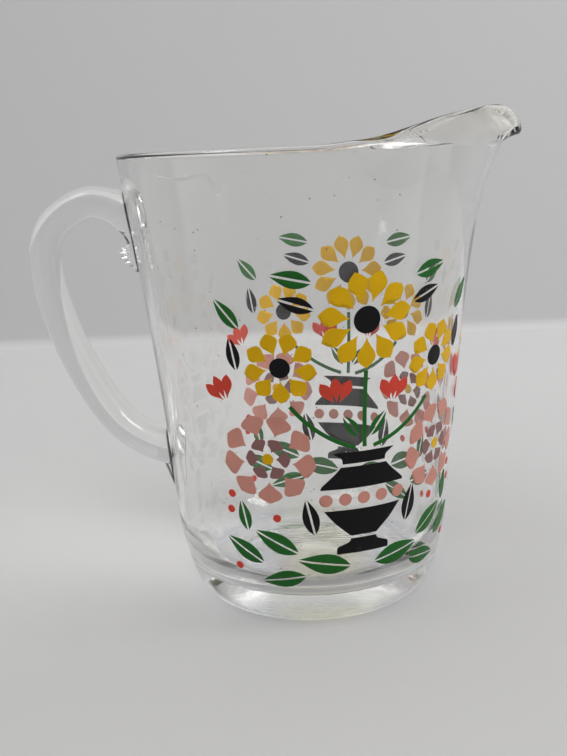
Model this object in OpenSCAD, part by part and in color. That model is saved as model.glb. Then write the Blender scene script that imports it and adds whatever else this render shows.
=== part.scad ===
// Clear glass pitcher: a pressed vessel with a pulled spout, an applied handle with a crimped
// tail, and a fired enamel print of flowers in a vase on each side of the spout.
// Z is the axis of the vessel, z = 0 is the table, the spout points along +X and the handle
// along -X. Lengths are in millimetres and angles in degrees.

/* [Vessel] */
// Height of the rim above the table
rim_h = 200; // [188:1:212]
// Outer diameter at the rim
rim_d = 159.6; // [152:0.2:168]
// Outer diameter where the heel runs into the wall
waist_d = 127.6; // [121:0.2:134]
// Outer diameter of the flat underside
foot_d = 100; // [95:1:106]
// Height of the rounded heel
heel_h = 45; // [40:1:50]
// Thickness of the wall
wall_t = 3.2; // [2.6:0.1:3.8]
// Thickness of the floor, measured from the table
floor_t = 13; // [11:0.5:15]
// Diameter of the flat inner floor
floor_d = 84; // [78:1:90]
// Height of the rounded corner inside the heel
inner_heel_h = 26; // [22:1:30]
// Width of the flat ring that the pitcher stands on
foot_ring_w = 11; // [8:0.5:14]
// Depth of the hollow inside that ring
kick_h = 1.8; // [1:0.1:3]

/* [Spout] */
// Distance from the axis to the edge of the lip
spout_reach = 94.2; // [90:0.2:98]
// Height over which the wall flares towards the spout
spout_depth = 75; // [68:1:80]
// How far the wall under the lip is drawn out
throat_pull = 7; // [5:0.2:9]
// Rise of the two cheeks beside the lip above the rim
cheek_rise = 15; // [11:0.2:17]
// How far the lip dips between the cheeks
lip_dip = 9.4; // [6:0.2:12]
// How far the cheeks are pinched in from the round rim
cheek_pinch = 8; // [5:0.5:10]
// Height of the plain rim band above the crease of the spout
crease_drop = 2.6; // [2:0.1:4]
// How far the crease rises on both sides of the spout
crease_lift = 2.8; // [1:0.2:3.4]
// Extra thickness of the rolled edge under the tip of the lip
lip_bead = 2; // [1:0.1:2.6]

/* [Handle] */
// Height of the middle of the upper joint
upper_joint_h = 176; // [168:1:180]
// Height of the middle of the lower joint
lower_joint_h = 67.5; // [60:0.5:74]
// Greatest distance from the wall to the middle of the handle
handle_out = 42.9; // [38:0.1:48]
// Thickness of the handle, measured towards the wall
handle_t = 14.5; // [12:0.5:17]
// Width of the handle
handle_w = 19; // [16:0.5:22]
// Length of the crimped tail below the upper joint
crimp_tail_l = 20.5; // [15:0.5:22]
// Thickness of the crimped tail
crimp_tail_t = 8.5; // [6.5:0.5:9.5]
// Width of the crimped tail
crimp_tail_w = 15; // [12:0.5:17]
// Depth of each crimp
crimp_depth = 1.7; // [1:0.1:2.2]
// Length of the thin tail below the lower joint
thin_tail_l = 17; // [13:0.5:20]
// Thickness of the thin tail at its thick end
thin_tail_t = 5.2; // [4:0.2:6]
// Width of the thin tail at its wide end
thin_tail_w = 15; // [12:0.5:17]

/* [Print] */
// Thickness of the enamel
enamel_t = 0.2; // [0.15:0.05:0.35]
// Height of the lowest point of the print
print_low = 25; // [23:1:30]
// Distance from the rim down to the highest point of the print
print_drop = 44; // [40:1:54]
// Width of one print, measured round the wall
print_w = 120; // [108:1:124]
// Width of a stem
stem_w = 1.7; // [1.2:0.1:2.2]
// Gap between the two halves of a leaf
vein_w = 0.9; // [0.6:0.1:1.2]
// Gap between the two prints below the spout, measured round the wall
print_gap = 46; // [42:1:60]

/* [Hidden] */
$fn = 96;

glass_colour = [0.80, 0.84, 0.83, 0.55];
green_colour = [0.05, 0.34, 0.12];
yellow_colour = [0.92, 0.70, 0.05];
red_colour = [0.80, 0.16, 0.12];
pink_colour = [0.85, 0.47, 0.42];
mauve_colour = [0.55, 0.22, 0.30];
black_colour = [0.04, 0.04, 0.04];

// Vessel: the outer and inner outline
flare_share = 0.38;
heel_steps = 9;
wall_steps = 4;
kick_steps = 4;
spout_start = rim_h - spout_depth;
crease_h = rim_h - crease_drop;
edge_h = rim_h - wall_t / 2;
kick_r = foot_d / 2 - foot_ring_w;

function wall_r(z) =
    let (s = (z - heel_h) / (rim_h - heel_h))
    waist_d / 2 + (rim_d - waist_d) / 2 * ((1 - flare_share) * s + flare_share * s * s);

heel_inset = wall_r(0) - foot_d / 2;
inner_inset = wall_r(floor_t) - wall_t - floor_d / 2;

function heel_point(turn) =
    let (z = heel_h * (1 - cos(turn)))
    [wall_r(z) - heel_inset * (1 - sin(turn)), z];

function inner_heel_point(turn) =
    let (z = floor_t + inner_heel_h * (1 - cos(turn)))
    [wall_r(z) - wall_t - inner_inset * (1 - sin(turn)), z];

heel_outline = [for (i = [0 : heel_steps]) heel_point(90 * i / heel_steps)];
wall_outline = [for (i = [1 : wall_steps - 1])
    let (z = heel_h + (spout_start - heel_h) * i / wall_steps)
    [wall_r(z), z]];
inner_outline = [for (i = [0 : heel_steps]) inner_heel_point(90 * i / heel_steps)];
kick_outline = [for (i = [0 : kick_steps]) [kick_r * i / kick_steps, kick_h * cos(90 * i / kick_steps)]];

// Upper wall: each column is a curve of [radius, height] that depends on its direction
spout_spread = 92;
throat_spread = 16;
tip_spread = 9.6;
bead_spread = 13;
throat_power = 3.3;
dip_spread = 5;
crease_pinch_share = 0.38;
crease_fade_from = 44;
crease_fade_to = 72;
lean_share = 0.3;
lift_share = 0.5;
flare_steps = 6;
lip_steps = 3;
rim_steps = 5;
half_columns = 44;
column_power = 1.3;
nudge = 0.2;
last = flare_steps + lip_steps;

function bell(turn, spread) = exp(-pow(turn / spread, 2));
function spread_share(turn) = min(abs(turn) / spout_spread, 1);
function cheek_share(turn) = pow(cos(90 * spread_share(turn)), 2);
function pinch_share(turn) = pow(sin(180 * spread_share(turn)), 2);

// The crease is sharp under the spout, and fades out beside it, where the wall follows the lip
function crease_fade(turn) =
    let (s = (abs(turn) - crease_fade_from) / (crease_fade_to - crease_fade_from),
         t = min(max(s, 0), 1))
    t * t * (3 - 2 * t);

function flare_point(turn, s) =
    let (crease_z = crease_h + crease_lift * sin(180 * spread_share(turn)),
         z = spout_start + s * (crease_z - spout_start),
         drawn = throat_pull * bell(turn, throat_spread) * pow(s, throat_power),
         share = crease_pinch_share + (1 - crease_pinch_share) * crease_fade(turn),
         pinched = cheek_pinch * share * pinch_share(turn) * pow(s, 4))
    [wall_r(z) + drawn - pinched, z];

function edge_point(turn) =
    let (drawn = (spout_reach - rim_d / 2) * bell(turn, tip_spread),
         raised = cheek_rise * cheek_share(turn) - lip_dip * bell(turn, dip_spread))
    [wall_r(edge_h) + drawn - cheek_pinch * pinch_share(turn), edge_h + raised];

function lip_point(turn, s) =
    let (a = flare_point(turn, 1),
         b = edge_point(turn),
         bend = [a[0] + lean_share * (b[0] - a[0]), a[1] + lift_share * (b[1] - a[1])])
    (1 - s) * (1 - s) * a + 2 * s * (1 - s) * bend + s * s * b;

function outer_rz(turn, k) =
    k <= flare_steps ? flare_point(turn, k / flare_steps)
                     : lip_point(turn, (k - flare_steps) / lip_steps);

function wall_point(turn, k) =
    let (p = outer_rz(turn, k))
    [p[0] * cos(turn), p[0] * sin(turn), p[1]];

function unit(v) = v / norm(v);

function round_way(turn, k) = wall_point(turn + nudge, k) - wall_point(turn - nudge, k);

function up_way(turn, k) =
    wall_point(turn, min(k + 1, last)) - wall_point(turn, max(k - 1, 0));

// The wall is level where the spout starts and square to the surface from the crease upwards
function inward(turn, k) =
    let (n = -unit(cross(round_way(turn, k), up_way(turn, k))),
         square = min(k / flare_steps, 1))
    unit([n[0], n[1], n[2] * square]);

// The lip swells outwards to its rolled edge
function bead(turn, k) =
    lip_bead * bell(turn, bead_spread) * pow(max(k - flare_steps, 0) / lip_steps, 2);

function outer_point(turn, k) = wall_point(turn, k) - bead(turn, k) * inward(turn, k);

function inner_point(turn, k) = wall_point(turn, k) + wall_t * inward(turn, k);

function rim_point(turn, i) =
    let (a = outer_point(turn, last),
         b = inner_point(turn, last),
         mid = (a + b) / 2,
         up = unit(wall_point(turn, last) - wall_point(turn, last - 1)),
         roll = 180 * i / rim_steps)
    mid + cos(roll) * (a - mid) + sin(roll) * norm(a - mid) * up;

// The lowest points stand back a hair, so that the upper wall sits on the lower wall's top face
seat_back = 0.02;
seat_turn = 180 * column_power / half_columns / 2;

function seat_points(turn) =
    let (r_out = wall_r(spout_start) - seat_back,
         r_in = (wall_r(spout_start) - wall_t) / cos(seat_turn) + seat_back)
    [for (r = [r_out, r_in]) [r * cos(turn), r * sin(turn), spout_start]];

function column(turn) =
    let (seat = seat_points(turn))
    concat(
        [seat[0]],
        [for (k = [1 : last]) outer_point(turn, k)],
        [for (i = [1 : rim_steps - 1]) rim_point(turn, i)],
        [for (k = [last : -1 : 1]) inner_point(turn, k)],
        [seat[1]]);

// Columns stand closer together towards the spout
function column_turn(i) =
    let (s = i / half_columns - 1)
    sign(s) * 180 * pow(abs(s), column_power);

// Faces between ring i and the next ring of n points, two triangles a step
function band_faces(i, next, n) = [for (j = [0 : n - 1], half = [0, 1])
    half == 0 ? [i * n + j, next * n + j, next * n + (j + 1) % n]
              : [i * n + j, next * n + (j + 1) % n, i * n + (j + 1) % n]];

// A ring of n points closed by strips across it
function lid_faces(first, n, turned) = [for (j = [0 : n / 2 - 2], half = [0, 1])
    let (a = first + j, b = first + j + 1, c = first + n - 2 - j, d = first + n - 1 - j)
    half == 0 ? (turned ? [c, b, a] : [a, b, c])
              : (turned ? [d, c, a] : [a, c, d])];

// A solid over rings of points: open rows get a lid at both ends, a closed row meets itself
module ring_solid(rings, closed = false) {
    n = len(rings[0]);
    count = len(rings);
    bands = [for (i = [0 : count - 2]) each band_faces(i, i + 1, n)];
    ends = closed ? band_faces(count - 1, 0, n)
                  : concat(lid_faces(0, n, false), lid_faces((count - 1) * n, n, true));
    polyhedron(
        points = [for (ring = rings) each ring],
        faces = concat(bands, ends),
        convexity = 8);
}

module lower_vessel() {
    rotate_extrude()
        polygon(concat(kick_outline, heel_outline, wall_outline,
            [[wall_r(spout_start), spout_start]],
            [[wall_r(spout_start) - wall_t, spout_start]],
            [for (i = [heel_steps : -1 : 0]) inner_outline[i]],
            [[0, floor_t]]));
}

module upper_vessel() {
    ring_solid([for (i = [2 * half_columns : -1 : 1]) column(column_turn(i))], closed = true);
}

module glass_vessel() {
    color(glass_colour)
        union() {
            lower_vessel();
            upper_vessel();
        }
}

// The vessel as if it were solid and round, which the handle is pressed against
round_outside = [for (k = [0 : last]) outer_rz(180, k)];
outside_outline = concat([[0, 0]], heel_outline, wall_outline, round_outside, [[0, edge_h]]);

module vessel_solid() {
    rotate_extrude()
        polygon(outside_outline);
}

// Handle: distance from the wall, height between the joints, thickness and width,
// each as a share of the size that it follows
path_shares = [
    [-0.10, 0.992, 1.52, 1.22],
    [0.02, 0.997, 1.36, 1.18],
    [0.12, 1.014, 1.09, 1.08],
    [0.25, 1.033, 0.98, 1.02],
    [0.42, 1.041, 0.94, 1.00],
    [0.65, 1.005, 0.91, 0.97],
    [0.85, 0.942, 0.90, 0.96],
    [0.965, 0.850, 0.90, 0.97],
    [1.00, 0.740, 0.92, 0.98],
    [0.98, 0.625, 0.95, 0.99],
    [0.912, 0.480, 0.98, 1.00],
    [0.80, 0.335, 1.02, 1.01],
    [0.64, 0.190, 1.02, 1.03],
    [0.46, 0.086, 1.02, 1.06],
    [0.26, 0.026, 1.04, 1.10],
    [0.07, -0.005, 1.10, 1.16],
    [-0.10, -0.020, 1.18, 1.22]];
path_steps = 3;
handle_sides = 20;
handle_square = 0.82;

function spline(p, i, t) =
    let (a = p[max(i - 1, 0)], b = p[i], c = p[i + 1], d = p[min(i + 2, len(p) - 1)])
    0.5 * (2 * b + t * (c - a) + t * t * (2 * a - 5 * b + 4 * c - d)
        + t * t * t * (3 * b - a - 3 * c + d));

path_rows = concat(
    [for (i = [0 : len(path_shares) - 2], j = [0 : path_steps - 1])
        spline(path_shares, i, j / path_steps)],
    [path_shares[len(path_shares) - 1]]);

function path_place(row) =
    let (z = lower_joint_h + row[1] * (upper_joint_h - lower_joint_h))
    [-wall_r(z) - row[0] * handle_out, z];

function bulge(x) = sign(x) * pow(abs(x), handle_square);

function handle_ring(i) =
    let (row = path_rows[i],
         here = path_place(row),
         ahead = path_place(path_rows[min(i + 1, len(path_rows) - 1)]),
         behind = path_place(path_rows[max(i - 1, 0)]),
         way = unit(ahead - behind),
         thick = handle_t * row[2],
         wide = handle_w * row[3])
    [for (j = [0 : handle_sides - 1])
        let (turn = 360 * j / handle_sides,
             out = bulge(cos(turn)) * thick / 2)
        [here[0] - way[1] * out, bulge(sin(turn)) * wide / 2, here[1] + way[0] * out]];

module handle_strap() {
    ring_solid([for (i = [len(path_rows) - 1 : -1 : 0]) handle_ring(i)]);
}

// A tail lies along the wall: its rows are level and thin out towards its end
tail_sides = 11;
tail_bury_share = 0.5;

function tail_row(z, thick, wide) = concat(
    [for (j = [0 : tail_sides])
        let (turn = 180 * j / tail_sides)
        [-wall_r(z) - thick * pow(sin(turn), handle_square), wide / 2 * cos(turn), z]],
    [[-wall_r(z) + wall_t * tail_bury_share, -wide / 2, z],
     [-wall_r(z) + wall_t * tail_bury_share, wide / 2, z]]);

crimps = 5;
crimp_rows = 6;
neck_rows = 8;
crimp_start_share = 0.46;
crimp_thick_shares = [
    [0, 0.90], [0.22, 0.55], [0.36, 0.44], [0.46, 0.84], [0.56, 1.00], [0.76, 0.86], [1, 0.56]];
crimp_top = upper_joint_h - handle_t * path_shares[1][2] / 2 + wall_t;
crimp_end_share = 0.3;

module crimped_tail() {
    neck = [for (i = [0 : neck_rows - 1]) crimp_start_share * i / neck_rows];
    steps = crimps * crimp_rows;
    pleats = [for (i = [0 : steps]) crimp_start_share + (1 - crimp_start_share) * i / steps];
    rows = concat(neck, pleats);
    ring_solid([for (i = [len(rows) - 1 : -1 : 0])
        let (s = rows[i],
             z = crimp_top - crimp_tail_l * s,
             along = max(s - crimp_start_share, 0) / (1 - crimp_start_share),
             valley = crimp_depth * (1 - cos(360 * crimps * along)) / 2,
             full = crimp_tail_t * lookup(s, crimp_thick_shares),
             round_off = sqrt(1 - pow(s, 8) * (1 - crimp_end_share)))
        tail_row(z, (full - valley) * round_off, crimp_tail_w * round_off)]);
}

thin_rows = 12;
thin_top = lower_joint_h - handle_t * path_shares[len(path_shares) - 2][2] / 2 + wall_t;
thin_end_share = 0.12;
thin_point_share = 0.35;

module thin_tail() {
    ring_solid([for (i = [thin_rows : -1 : 0])
        let (s = i / thin_rows,
             thick = thin_tail_t * (1 - (1 - thin_end_share) * s),
             wide = thin_tail_w * (1 - (1 - thin_point_share) * s * s))
        tail_row(thin_top - thin_tail_l * s, thick, wide)]);
}

module glass_handle() {
    color(glass_colour)
        difference() {
            union() {
                handle_strap();
                crimped_tail();
                thin_tail();
            }
            vessel_solid();
        }
}

// Print: a thin skin on the outside of the vessel, cut to outlines that face outwards
print_high = rim_h - print_drop;
skin_margin = wall_t * 4;
skin_band = [for (p = concat(heel_outline, wall_outline, round_outside))
    if (p[1] > print_low - skin_margin && p[1] < print_high + skin_margin) p];
print_r = wall_r((print_low + print_high) / 2);
print_h = print_high - print_low;
print_turn = (print_w + print_gap) / 2 / print_r * 180 / PI;
prism_start = floor_d / 2;
prism_end = rim_d / 2 + enamel_t;
outline_steps = 8;

module enamel_skin() {
    rotate_extrude()
        polygon(concat(skin_band,
            [for (i = [len(skin_band) - 1 : -1 : 0]) skin_band[i] + [enamel_t, 0]]));
}

module on_skin() {
    intersection() {
        enamel_skin();
        union() children();
    }
}

module both_sides() {
    for (side = [-1, 1])
        rotate([0, 0, side * print_turn])
            children();
}

// Places on a print are shares: [half widths to the right, heights from its foot]
module at(place_share, tilt = 0) {
    rotate([0, 0, place_share[0] * print_w / 2 / print_r * 180 / PI])
        translate([prism_start, 0, print_low + place_share[1] * print_h])
            rotate([90, 0, 90])
                linear_extrude(prism_end - prism_start)
                    rotate(tilt)
                        children();
}

// Outlines start at the origin and reach along +Y
petal_belly_share = 1.5;
leaf_belly_share = 0.85;

function half_outline(l, w, belly_share, side, gap) = [for (i = [0 : outline_steps])
    let (s = i / outline_steps)
    [side * (gap / 2 + (w - gap) / 2 * sin(180 * pow(s, belly_share))), l * s]];

module petal(l, w) {
    right = half_outline(l, w, petal_belly_share, 1, 0);
    left = half_outline(l, w, petal_belly_share, -1, 0);
    polygon(concat(right, [for (i = [outline_steps - 1 : -1 : 1]) left[i]]));
}

// The vein is left clear between the halves of a leaf
leaf_w_share = 0.44;

module leaf(l) {
    for (side = [-1, 1])
        polygon(half_outline(l, l * leaf_w_share, leaf_belly_share, side, vein_w));
}

petal_fill_share = 0.93;

module petal_ring(count, r, hole_share) {
    hole_r = r * hole_share;
    middle_r = hole_r + (r - hole_r) * pow(0.5, 1 / petal_belly_share);
    for (i = [0 : count - 1])
        rotate(360 * (i + 0.5) / count)
            translate([0, hole_r])
                petal(r - hole_r, petal_fill_share * 2 * PI * middle_r / count);
}

tulip_lean = 30;
tulip_w_share = 0.46;
tulip_foot_share = 0.2;

module tulip(l) {
    for (lean = [-tulip_lean, 0, tulip_lean])
        rotate(lean)
            translate([0, l * tulip_foot_share])
                petal(l, l * tulip_w_share);
}

// An even stroke that bends to the right through an angle
module stroke(l, w, bend) {
    r = l / (bend * PI / 180);
    polygon(concat(
        [for (i = [0 : outline_steps])
            let (turn = bend * i / outline_steps)
            [r - (r + w / 2) * cos(turn), (r + w / 2) * sin(turn)]],
        [for (i = [outline_steps : -1 : 0])
            let (turn = bend * i / outline_steps)
            [r - (r - w / 2) * cos(turn), (r - w / 2) * sin(turn)]]));
}

// A stroke between two places of the print, bowed to the left for a negative bend
module stem(from_share, to_share, bend) {
    way = [(to_share[0] - from_share[0]) * print_w / 2, (to_share[1] - from_share[1]) * print_h];
    turn = abs(bend);
    at((from_share + to_share) / 2)
        rotate(-atan2(way[0], way[1]))
            translate([0, -norm(way) / 2])
                mirror([bend < 0 ? 1 : 0, 0])
                    rotate(turn / 2)
                        stroke(norm(way) * (turn * PI / 180) / (2 * sin(turn / 2)), stem_w, turn);
}

// Flowers: place, radius as a share of the print's height, number of petals
daisy_shares = [
    [[0.00, 0.845], 0.150, 11],
    [[-0.55, 0.710], 0.112, 9],
    [[0.57, 0.695], 0.116, 9]];
peony_shares = [
    [[-0.67, 0.415], 0.150, 9],
    [[0.67, 0.390], 0.150, 9]];
daisy_hole_share = 0.36;
daisy_disc_share = 0.28;
peony_hole_share = 0.52;
heart_petals = 6;
heart_share = 0.48;
heart_hole_share = 0.36;
heart_disc_share = 0.12;

// Tulips: place, tilt
tulip_shares = [
    [[-0.93, 0.590], 26],
    [[0.96, 0.570], -22],
    [[-0.19, 0.580], 4],
    [[0.20, 0.570], -4]];
tulip_l_share = 0.078;

// Leaves: place of the stalk, tilt, length as a share of the print's height; a mirror image too
green_leaf_shares = [
    [[0.10, 0.040], -80, 0.165],
    [[0.44, 0.010], -100, 0.140],
    [[0.49, 0.095], -62, 0.150],
    [[0.76, 0.055], -58, 0.140],
    [[0.86, 0.165], -10, 0.100],
    [[0.04, 0.480], -36, 0.085],
    [[0.80, 0.830], -40, 0.110],
    [[0.34, 0.965], -78, 0.120]];
black_leaf_shares = [
    [[0.36, 0.160], -12, 0.120],
    [[0.33, 0.885], -72, 0.110],
    [[0.84, 0.700], -8, 0.100]];
berry_shares = [[0.99, 0.230], [0.97, 0.285], [0.97, 0.030], [0.63, 0.215]];
berry_r_share = 0.013;

// The sprig under the spout
sprig_stem_shares = [[0, 0.335], [0, 0.560]];
sprig_flower_shares = [[0, 0.660], 0.090, 8];
sprig_tulip_shares = [[0.145, 0.465], -14];
sprig_leaf_shares = [[0.05, 0.365], -42, 0.110];

// Vase: places on it are shares of its height, half widths are shares of the greatest
vase_foot_share = [0, 0.085];
vase_h_share = 0.345;
vase_w_share = 0.290;
vase_half_shares = [
    [0, 0.60], [0.07, 0.60], [0.12, 0.30], [0.18, 0.30], [0.32, 0.66], [0.46, 0.92],
    [0.56, 1.00], [0.68, 0.94], [0.80, 0.64], [0.88, 0.48], [0.94, 0.50], [1.00, 0.70]];
vase_slice_shares = [[0, 0.15], [0.18, 0.44], [0.65, 0.86], [0.89, 1.00]];
pearls = 5;
pearl_high_share = 0.545;
pearl_r_share = 0.07;
pearl_row_share = 0.84;

// Stems start above the mouth of the vase: place across it, place of the far end, bend
stem_foot_share = vase_foot_share[1] + vase_h_share + 0.014;
stem_shares = [
    [0.00, [0.00, 0.688], 4],
    [-0.07, [-0.50, 0.588], 34],
    [0.07, [0.51, 0.570], -34]];

function vase_half(s) = print_h * vase_w_share / 2 * lookup(s, vase_half_shares);

module vase_slice(low_share, high_share) {
    vase_h = print_h * vase_h_share;
    heights = [for (i = [0 : outline_steps]) low_share + (high_share - low_share) * i / outline_steps];
    polygon(concat(
        [for (s = heights) [vase_half(s), s * vase_h]],
        [for (i = [outline_steps : -1 : 0]) [-vase_half(heights[i]), heights[i] * vase_h]]));
}

module pearl_row() {
    vase_w = print_h * vase_w_share;
    for (i = [0 : pearls - 1])
        translate([(i / (pearls - 1) - 0.5) * vase_w * pearl_row_share,
            print_h * vase_h_share * pearl_high_share])
            circle(vase_w * pearl_r_share);
}

module leaves(table) {
    for (side = [-1, 1], row_shares = table)
        at([side * row_shares[0][0], row_shares[0][1]], side * row_shares[1])
            leaf(print_h * row_shares[2]);
}

module green_enamel() {
    color(green_colour)
        on_skin() {
            both_sides() {
                leaves(green_leaf_shares);
                for (row_shares = stem_shares)
                    stem([row_shares[0], stem_foot_share], row_shares[1], row_shares[2]);
            }
            leaves([sprig_leaf_shares]);
            stem(sprig_stem_shares[0], sprig_stem_shares[1], 4);
        }
}

module daisy(row_shares) {
    at(row_shares[0])
        petal_ring(row_shares[2], print_h * row_shares[1], daisy_hole_share);
}

module yellow_enamel() {
    color(yellow_colour)
        on_skin() {
            both_sides() {
                for (row_shares = daisy_shares)
                    daisy(row_shares);
                for (row_shares = peony_shares)
                    at(row_shares[0])
                        circle(print_h * row_shares[1] * heart_disc_share);
            }
            daisy(sprig_flower_shares);
        }
}

module red_enamel() {
    color(red_colour)
        on_skin() {
            both_sides() {
                for (row_shares = tulip_shares)
                    at(row_shares[0], row_shares[1])
                        tulip(print_h * tulip_l_share);
                for (side = [-1, 1], place_share = berry_shares)
                    at([side * place_share[0], place_share[1]])
                        circle(print_h * berry_r_share);
            }
            for (side = [-1, 1])
                at([side * sprig_tulip_shares[0][0], sprig_tulip_shares[0][1]],
                    side * sprig_tulip_shares[1])
                    tulip(print_h * tulip_l_share);
        }
}

module pink_enamel() {
    color(pink_colour)
        on_skin()
            both_sides() {
                for (row_shares = peony_shares)
                    at(row_shares[0])
                        petal_ring(row_shares[2], print_h * row_shares[1], peony_hole_share);
                at(vase_foot_share)
                    pearl_row();
            }
}

module mauve_enamel() {
    color(mauve_colour)
        on_skin()
            both_sides()
                for (row_shares = peony_shares)
                    at(row_shares[0])
                        petal_ring(heart_petals, print_h * row_shares[1] * heart_share, heart_hole_share);
}

module black_enamel() {
    color(black_colour)
        on_skin() {
            both_sides() {
                for (row_shares = daisy_shares)
                    at(row_shares[0])
                        circle(print_h * row_shares[1] * daisy_disc_share);
                for (slice_shares = vase_slice_shares)
                    at(vase_foot_share)
                        vase_slice(slice_shares[0], slice_shares[1]);
                leaves(black_leaf_shares);
            }
            at(sprig_flower_shares[0])
                circle(print_h * sprig_flower_shares[1] * daisy_disc_share);
        }
}

glass_vessel();
glass_handle();
green_enamel();
yellow_enamel();
red_enamel();
pink_enamel();
mauve_enamel();
black_enamel();
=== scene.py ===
"""Looks of a clear glass pitcher with a pulled spout, an applied handle and a fired print.

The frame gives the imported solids. The vessel is made again here as one fine skin by the rule of
its solid, the handle is drawn along its path, and each enamel colour is laid onto the glass.
"""

import math

import bmesh
import bpy
import numpy as np
from mathutils import Matrix, Vector


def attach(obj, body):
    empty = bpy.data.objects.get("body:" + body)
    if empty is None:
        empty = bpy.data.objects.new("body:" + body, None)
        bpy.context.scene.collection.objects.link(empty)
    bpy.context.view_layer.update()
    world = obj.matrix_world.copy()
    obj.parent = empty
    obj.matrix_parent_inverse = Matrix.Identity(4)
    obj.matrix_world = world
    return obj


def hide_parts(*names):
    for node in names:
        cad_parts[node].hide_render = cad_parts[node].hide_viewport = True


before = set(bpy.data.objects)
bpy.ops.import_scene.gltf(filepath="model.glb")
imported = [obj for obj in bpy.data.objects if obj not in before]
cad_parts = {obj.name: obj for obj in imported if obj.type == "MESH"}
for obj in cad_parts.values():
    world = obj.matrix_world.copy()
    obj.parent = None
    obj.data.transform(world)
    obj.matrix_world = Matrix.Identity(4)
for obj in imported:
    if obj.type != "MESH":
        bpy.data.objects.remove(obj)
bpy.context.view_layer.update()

MM = 0.001

# The solid's facets cut its curves a little, so the smooth rim, lip and handle stand back inside it
FACET_CUT = 0.16 * MM

# Sizes of the vessel

RIM_H = 200 * MM
RIM_D = 159.6 * MM - FACET_CUT / 2
WAIST_D = 127.6 * MM
FOOT_D = 100 * MM
HEEL_H = 45 * MM
WALL_T = 3.2 * MM
FLOOR_T = 13 * MM
FLOOR_D = 84 * MM
INNER_HEEL_H = 26 * MM
FOOT_RING_W = 11 * MM
KICK_H = 1.8 * MM

SPOUT_REACH = 94.2 * MM - FACET_CUT
SPOUT_DEPTH = 75 * MM
THROAT_PULL = 7 * MM
CHEEK_RISE = 15 * MM - FACET_CUT
LIP_DIP = 9.4 * MM
CHEEK_PINCH = 8 * MM
CREASE_DROP = 2.6 * MM
CREASE_LIFT = 2.8 * MM
LIP_BEAD = 2 * MM
CREASE_H = RIM_H - CREASE_DROP

FLARE_SHARE = 0.38
CREASE_PINCH_SHARE = 0.38
LEAN_SHARE = 0.3
LIFT_SHARE = 0.5
SPOUT_SPREAD = math.radians(92)
THROAT_SPREAD = math.radians(16)
TIP_SPREAD = math.radians(9.6)
DIP_SPREAD = math.radians(5)
BEAD_SPREAD = math.radians(13)
THROAT_POWER = 3.3
CHEEK_POWER = 4.0
CREASE_FADE_FROM = math.radians(44)
CREASE_FADE_TO = math.radians(72)

# Fineness of the skin, and what is too fine for the solid
COLUMNS = 320
COLUMN_POWER = 1.2
ROW_POWER = 1.5
HOLLOW_ROWS = 12
HEEL_ROWS = 40
WALL_ROWS = 24
SPOUT_ROWS = 40
LIP_ROWS = 14
RIM_ROWS = 16
INNER_HEEL_ROWS = 30
FLOOR_ROWS = 14
NUDGE = math.radians(0.6)
EVEN_SPAN = 1.6 * MM
RIM_STEP = 0.1 * MM
SEAM = 0.002 * MM
CREASE_W = 0.45 * MM
CREASE_DEPTH = 0.12 * MM
CREASE_SPREAD = math.radians(40)
WARM_EDGE = 1.6 * MM

# Slow waves of the inner wall: how often each turns on its way round and on its way up,
# where it starts and its share of the height
RIPPLE = 0.03 * MM
RIPPLE_TOP = 192 * MM
RIPPLE_FADE = 30 * MM
RIPPLE_WAVES = ((5, 3.1, 0, 1), (9, -2.3, 1, 0.7), (14, 5, 2, 0.5), (2, 11, 0, 0.6))

# Sizes of the handle

UPPER_JOINT_H = 176 * MM
LOWER_JOINT_H = 67.5 * MM
HANDLE_OUT = 42.9 * MM - FACET_CUT / 3
HANDLE_T = 14.5 * MM
HANDLE_W = 19 * MM
HANDLE_SQUARE = 0.82
HANDLE_SINK = 0.5 * MM
HANDLE_ROWS = 160
HANDLE_SIDES = 72
HANDLE_SHARP_FROM = math.radians(50)

CRIMPS = 5
CRIMP_START_SHARE = 0.46
CRIMP_TAIL_L = 20.5 * MM
CRIMP_TAIL_T = 8.5 * MM
CRIMP_TAIL_W = 15 * MM
CRIMP_DEPTH = 1.7 * MM
CRIMP_END_SHARE = 0.7
CRIMP_END_POWER = 8
CRIMP_POINTS = 40
THIN_TAIL_L = 17 * MM
THIN_TAIL_T = 5.2 * MM
THIN_TAIL_W = 15 * MM
THIN_TAPER_SHARE = 0.88
THIN_NARROW_SHARE = 0.65
THIN_POINTS = 30
THIN_ROWS = 40
CORE_ROWS = 60
CORE_SIDES = 720

# Distance from the wall, height between the joints, thickness and width
PATH_SHARES = np.array(
    [
        (-0.10, 0.992, 1.52, 1.22),
        (0.02, 0.997, 1.36, 1.18),
        (0.12, 1.014, 1.09, 1.08),
        (0.25, 1.033, 0.98, 1.02),
        (0.42, 1.041, 0.94, 1.00),
        (0.65, 1.005, 0.91, 0.97),
        (0.85, 0.942, 0.90, 0.96),
        (0.965, 0.850, 0.90, 0.97),
        (1.00, 0.740, 0.92, 0.98),
        (0.98, 0.625, 0.95, 0.99),
        (0.912, 0.480, 0.98, 1.00),
        (0.80, 0.335, 1.02, 1.01),
        (0.64, 0.190, 1.02, 1.03),
        (0.46, 0.086, 1.02, 1.06),
        (0.26, 0.026, 1.04, 1.10),
        (0.07, -0.005, 1.10, 1.16),
        (-0.10, -0.020, 1.18, 1.22),
    ]
)
# Distance down the crimped tail, and its thickness there
CRIMP_THICK_SHARES = [
    (0, 0.90), (0.22, 0.55), (0.36, 0.44), (0.46, 0.84), (0.56, 1.00), (0.76, 0.86), (1, 0.56),
]


# Helpers for building node trees


def fill(tree, socket, value):
    """Sets an input to a value, or joins it to the socket where the value is worked out."""
    value = getattr(value, "socket", value)
    if isinstance(value, bpy.types.NodeSocket):
        tree.links.new(value, socket)
    else:
        socket.default_value = value


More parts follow.
